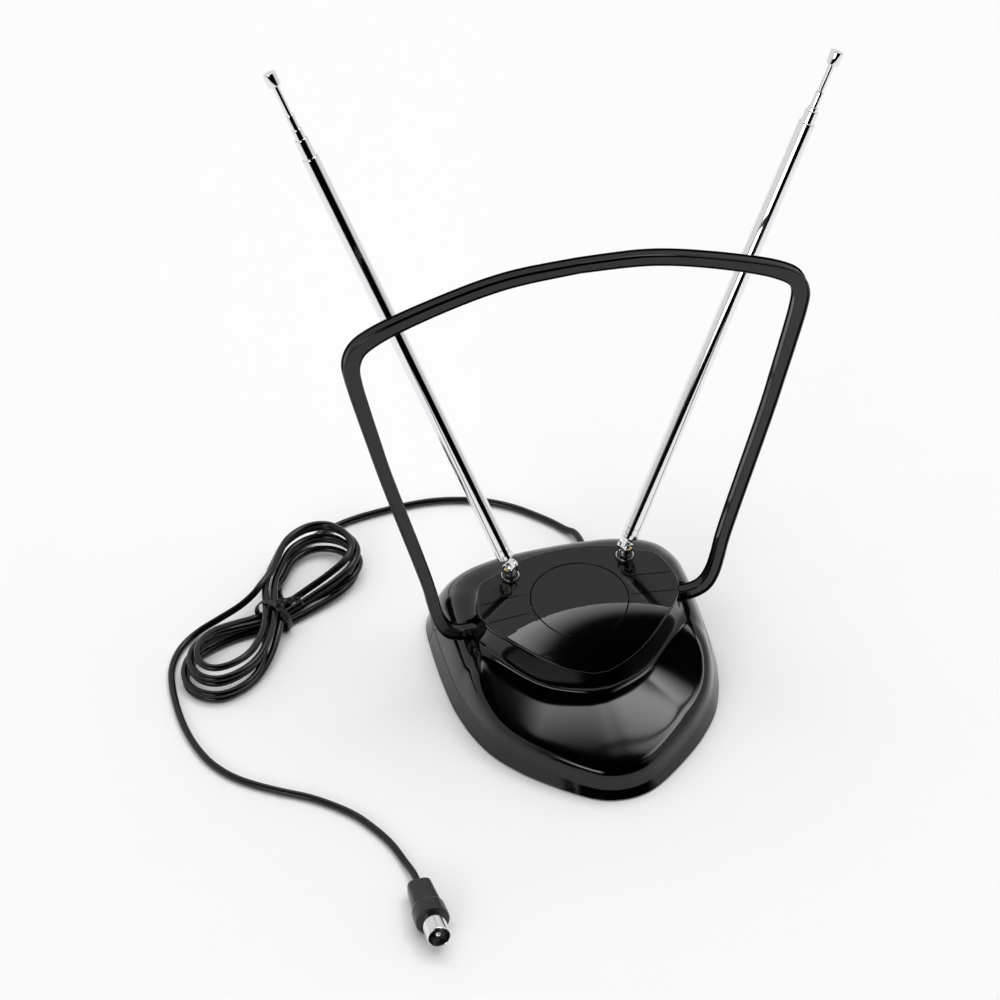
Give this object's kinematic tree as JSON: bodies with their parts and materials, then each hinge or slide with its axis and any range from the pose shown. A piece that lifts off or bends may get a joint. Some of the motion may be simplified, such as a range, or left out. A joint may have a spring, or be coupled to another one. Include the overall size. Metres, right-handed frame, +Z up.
{
  "type": "indoor television aerial",
  "caption": "Indoor television aerial: weighted plastic base, telescopic rods on swivel and tilt hinges, a fixed moulded loop and a coiled lead with a coaxial plug.",
  "frame": {"origin": "on the table, midway between the two swivels of the rods", "axes": "+Z up, -Y towards the pointed nose of the base, +X to the right seen from the nose"},
  "size_m": [0.2902, 0.2461, 0.2464],
  "materials": {
    "gloss_black_plastic": "gloss",
    "satin_black_plastic": "satin",
    "chrome": "polished",
    "nickelled_brass": "polished",
    "zinc_steel": "satin",
    "black_rubber": "matte",
    "board_laminate": "satin",
    "ferrite": "matte",
    "cord_sheath": "satin",
    "black_insulator": "satin"
  },
  "bodies": {
    "base": {"ballast_plate": "zinc_steel", "balun_core": "ferrite", "base_plate": "satin_black_plastic", "board_screw_left": "zinc_steel", "board_screw_right": "zinc_steel", "centre_disc": "gloss_black_plastic", "circuit_board": "board_laminate", "cord_gland": "black_rubber", "cord_hank": "cord_sheath", "cord_rear": "cord_sheath", "cord_tail": "cord_sheath", "cord_tie": "satin_black_plastic", "deck_cap": "gloss_black_plastic", "foot_front_left": "black_rubber", "foot_front_right": "black_rubber", "foot_rear_left": "black_rubber", "foot_rear_right": "black_rubber", "front_shell": "gloss_black_plastic", "left_bush": "satin_black_plastic", "left_contact_ring": "nickelled_brass", "loop_clamp": "zinc_steel", "plug_body": "satin_black_plastic", "plug_insulator": "black_insulator", "plug_pin": "chrome", "plug_sleeve": "chrome", "rear_cover": "gloss_black_plastic", "right_bush": "satin_black_plastic", "right_contact_ring": "nickelled_brass", "screw_front_left": "zinc_steel", "screw_front_right": "zinc_steel", "screw_rear_left": "zinc_steel", "screw_rear_right": "zinc_steel", "uhf_loop": "gloss_black_plastic"},
    "left_post": {"left_swivel_post": "chrome", "left_retaining_nut": "zinc_steel", "left_hinge_pin": "nickelled_brass"},
    "left_section_1": {"left_rod_fitting": "chrome", "left_tube_1": "chrome"},
    "left_section_2": {"left_tube_2": "chrome"},
    "left_section_3": {"left_tube_3": "chrome"},
    "left_section_4": {"left_tube_4": "chrome"},
    "left_section_5": {"left_core": "chrome", "left_tip": "chrome"},
    "right_post": {"right_swivel_post": "chrome", "right_retaining_nut": "zinc_steel", "right_hinge_pin": "nickelled_brass"},
    "right_section_1": {"right_rod_fitting": "chrome", "right_tube_1": "chrome"},
    "right_section_2": {"right_tube_2": "chrome"},
    "right_section_3": {"right_tube_3": "chrome"},
    "right_section_4": {"right_tube_4": "chrome"},
    "right_section_5": {"right_core": "chrome", "right_tip": "chrome"}
  },
  "joints": [
    {"name": "left_swivel", "type": "hinge", "parent": "base", "child": "left_post", "pos_m": [-0.0245, 0, 0.04], "axis": [0, 0, 1], "range_deg": [-65, 45]},
    {"name": "left_tilt", "type": "hinge", "parent": "left_post", "child": "left_section_1", "pos_m": [-0.0245, 0, 0.0455], "axis": [-0.7738, -0.6334, 0], "range_deg": [-28, 50]},
    {"name": "left_slide_1", "type": "slide", "parent": "left_section_1", "child": "left_section_2", "axis": [-0.3186, 0.3893, 0.8643], "range_m": [-0.0073, 0.15]},
    {"name": "left_slide_2", "type": "slide", "parent": "left_section_2", "child": "left_section_3", "axis": [-0.3186, 0.3893, 0.8643], "range_m": [-0.0034, 0.15]},
    {"name": "left_slide_3", "type": "slide", "parent": "left_section_3", "child": "left_section_4", "axis": [-0.3186, 0.3893, 0.8643], "range_m": [-0.0052, 0.15]},
    {"name": "left_slide_4", "type": "slide", "parent": "left_section_4", "child": "left_section_5", "axis": [-0.3186, 0.3893, 0.8643], "range_m": [-0.0118, 0.15]},
    {"name": "right_swivel", "type": "hinge", "parent": "base", "child": "right_post", "pos_m": [0.0245, 0, 0.04], "axis": [0, 0, 1], "range_deg": [-24, 95]},
    {"name": "right_tilt", "type": "hinge", "parent": "right_post", "child": "right_section_1", "pos_m": [0.0245, 0, 0.0455], "axis": [-0.509, 0.8607, 0], "range_deg": [-28, 50]},
    {"name": "right_slide_1", "type": "slide", "parent": "right_section_1", "child": "right_section_2", "axis": [0.433, 0.2561, 0.8643], "range_m": [-0.0042, 0.15]},
    {"name": "right_slide_2", "type": "slide", "parent": "right_section_2", "child": "right_section_3", "axis": [0.433, 0.2561, 0.8643], "range_m": [-0.0005, 0.15]},
    {"name": "right_slide_3", "type": "slide", "parent": "right_section_3", "child": "right_section_4", "axis": [0.433, 0.2561, 0.8643], "range_m": [-0.0057, 0.15]},
    {"name": "right_slide_4", "type": "slide", "parent": "right_section_4", "child": "right_section_5", "axis": [0.433, 0.2561, 0.8643], "range_m": [-0.0106, 0.15]}
  ]
}
